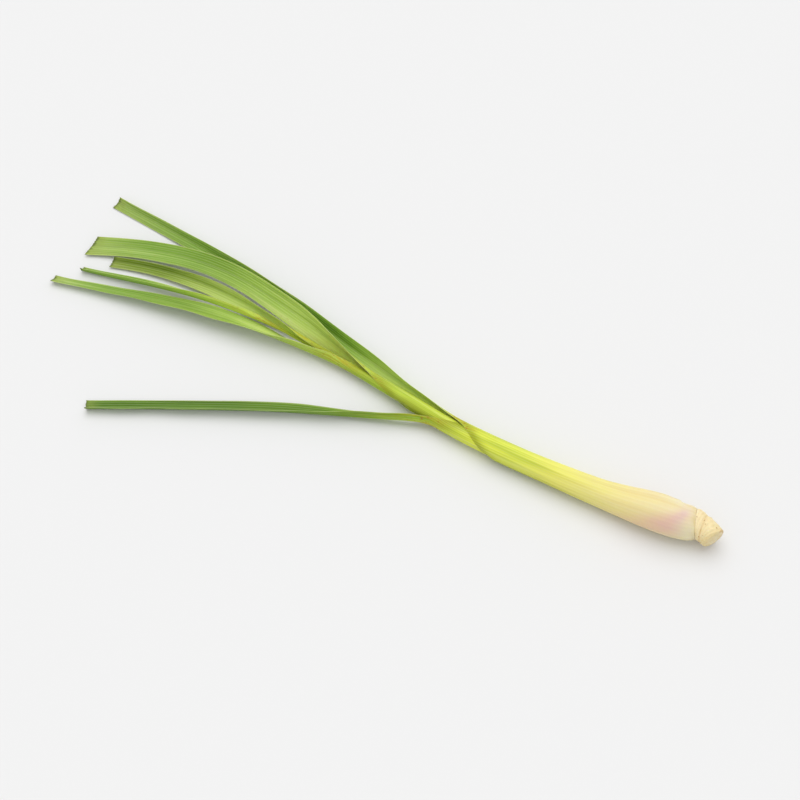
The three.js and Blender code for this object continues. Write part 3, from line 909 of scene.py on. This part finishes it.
def leaf_margin(name, stops):
    """Lemongrass leaf edge: a thin hem, cut across at both ends.

    The eye gets a line paler than the leaf, dark dried fibres at the cut end and honey-coloured
    ones at the foot.
    """
    material, tree = new_material(name)
    _, to_end, _, length, _, _, place = read_attributes(tree, "leaf_state", "leaf_place")
    fibre = add(tree, "ShaderNodeTexNoise", {"Vector": place, "Scale": 1.6, "Detail": 3.0})
    along_ramp = add(tree, **TIMES, links={0: length, 1: 1 / REACH})
    colour = add(tree, "ShaderNodeValToRGB", {0: along_ramp}, stops=stops)
    colour = add(tree, **BLEND, links={0: 0.4, 6: colour, 7: "#EDEFC0"})
    cut = add(tree, "ShaderNodeValToRGB", {0: fibre}, stops=[(0.35, "#4A5233"), (0.65, "#7E7A4C")])
    foot = add(tree, "ShaderNodeValToRGB", {0: fibre}, stops=[(0.4, "#DDBE86"), (0.65, "#F3E4B6")])
    near_end = add(tree, **FADE, links={0: to_end, 1: 0.8, 2: 2.5, 3: 1.0, 4: 0.0})
    near_base = add(tree, **FADE, links={0: length, 1: 5.0, 2: 7.0, 3: 1.0, 4: 0.0})
    colour = add(tree, **BLEND, links={0: near_end, 6: colour, 7: cut})
    colour = add(tree, **BLEND, links={0: near_base, 6: colour, 7: foot})
    surface = add(tree, "ShaderNodeBsdfPrincipled", {
        "Base Color": colour, "Roughness": 0.6, "IOR": TISSUE_IOR})
    add(tree, "ShaderNodeOutputMaterial", {"Surface": surface})
    return material


def root_tissue():
    """Lemongrass root plate: firm rhizome, cut across with a knife, its skin moist and pale.

    The eye gets a dull cream skin with honey mottling, one tan scar and brown spots where roots
    were trimmed, and an ivory cut face with small brown strand ends.
    """
    material, tree = new_material("rhizome_cut_and_skin")
    station, radius, stub, _ = read_attributes(tree, "root_place")
    vector = add(tree, "ShaderNodeTexCoord").outputs["Object"]
    drawn = add(tree, "ShaderNodeMapping", {0: vector, "Scale": (250.0, 1200.0, 1200.0)})
    fibre = add(tree, "ShaderNodeTexNoise", {"Vector": drawn, "Scale": 1.0, "Detail": 3.0})
    blotch = add(tree, "ShaderNodeTexNoise", {"Vector": vector, "Scale": 230.0, "Detail": 3.0})
    strands = add(tree, "ShaderNodeTexVoronoi", {"Vector": vector, "Scale": 1300.0})
    strands = strands.outputs["Distance"]
    from_scar = add(tree, "ShaderNodeMath", {0: station}, operation="ABSOLUTE")

    along_skin = add(tree, **FADE, links={0: station, 1: -8.0, 2: 5.0})
    colours = {
        "skin": add(tree, "ShaderNodeValToRGB", {0: along_skin}, stops=[
            (0.0, "#E8D5A0"), (0.3, "#EFDDAA"), (0.62, "#F0DCAA"), (1.0, "#F4E2B4")]),
        "flesh": add(tree, "ShaderNodeValToRGB", {0: blotch}, stops=[
            (0.3, "#F1E6C2"), (0.7, "#E6D19C")]),
    }
    # Layers of colour, as in the leaf, each on the skin or on the flesh of the cut.
    layers = [
        ("skin", fibre, (0.5, 0.72, 0.0, 0.22), "#D6BA7E"),
        ("skin", blotch, (0.54, 0.7, 0.0, 0.55), "#F8E8BC"),
        ("skin", blotch, (0.3, 0.45, 0.45, 0.0), "#D9C288"),
        ("skin", from_scar, (0.1, 0.7, 0.3, 0.0), "#CFAE74"),
        ("skin", stub, (0.25, 0.8, 0.0, 0.75), "#B58A52"),
        ("flesh", strands, (0.12, 0.3, 0.45, 0.0), "#A8793E"),
        ("flesh", radius, (5.0, 5.7, 0.0, 0.6), "#CDA768"),
    ]
    for part, value, (low, high, at_low, at_high), tint in layers:
        share = add(tree, **FADE, links={0: value, 1: low, 2: high, 3: at_low, 4: at_high})
        colours[part] = add(tree, **BLEND, links={0: share, 6: colours[part], 7: tint})
    off_cut = add(tree, **FADE, links={0: station, 1: -7.55, 2: -7.3})
    colour = add(tree, **BLEND, links={0: off_cut, 6: colours["flesh"], 7: colours["skin"]})
    height = add(tree, "ShaderNodeMath", {0: fibre, 1: blotch}, operation="ADD")
    bump = add(tree, "ShaderNodeBump", {"Height": height, "Distance": RIND_RELIEF, "Strength": 1.0})
    surface = add(tree, "ShaderNodeBsdfPrincipled", {
        "Base Color": colour, "Roughness": 0.62, "Normal": bump, "IOR": TISSUE_IOR,
        "Subsurface Weight": 0.12, "Subsurface Radius": (1.0, 0.7, 0.4),
        "Subsurface Scale": SCATTERING})
    add(tree, "ShaderNodeOutputMaterial", {"Surface": surface})
    return material


# ---------------------------------------------------------------- table, light and camera

def make_table():
    deselect_all()
    bpy.ops.mesh.primitive_plane_add(size=TABLE_SIZE, location=(0, 0, -TABLE_DROP))
    table = bpy.context.active_object
    table.name = "table"
    material, tree = new_material("table_card")
    surface = add(tree, "ShaderNodeBsdfPrincipled", {"Base Color": "#E7E7E7", "Roughness": 0.9})
    add(tree, "ShaderNodeOutputMaterial", {"Surface": surface})
    table.data.materials.append(material)


def make_light():
    """A white light tent, brighter high over the leaf ends."""
    world = bpy.data.worlds.new("studio")
    world.use_nodes = True
    world.node_tree.nodes.clear()
    tent = add(world.node_tree, "ShaderNodeBackground", {
        "Color": "#FFFFFF", "Strength": TENT_STRENGTH})
    add(world.node_tree, "ShaderNodeOutputWorld", {"Surface": tent})
    bpy.context.scene.world = world
    lamp = bpy.data.lights.new("key", "SUN")
    lamp.energy = KEY_STRENGTH
    lamp.angle = KEY_SPREAD
    holder = bpy.data.objects.new("key", lamp)
    holder.rotation_euler = (-Vector(KEY_FROM)).to_track_quat("-Z", "Y").to_euler()
    bpy.context.scene.collection.objects.link(holder)


def make_camera():
    lens = bpy.data.cameras.new("camera")
    lens.lens = LENS
    lens.sensor_width = SENSOR
    camera = bpy.data.objects.new("camera", lens)
    camera.location = to_frame(CAMERA_PLACE)
    aim = Vector(to_frame(CAMERA_AIM)) - camera.location
    camera.rotation_euler = aim.to_track_quat("-Z", "Y").to_euler()
    bpy.context.scene.collection.objects.link(camera)
    bpy.context.scene.camera = camera


# ---------------------------------------------------------------- the scene

make_camera()
make_table()
make_light()
make_root()
for layer, leaf in enumerate(LEAVES):
    make_leaf(leaf, layer)
bpy.context.scene.view_settings.view_transform = "Standard"
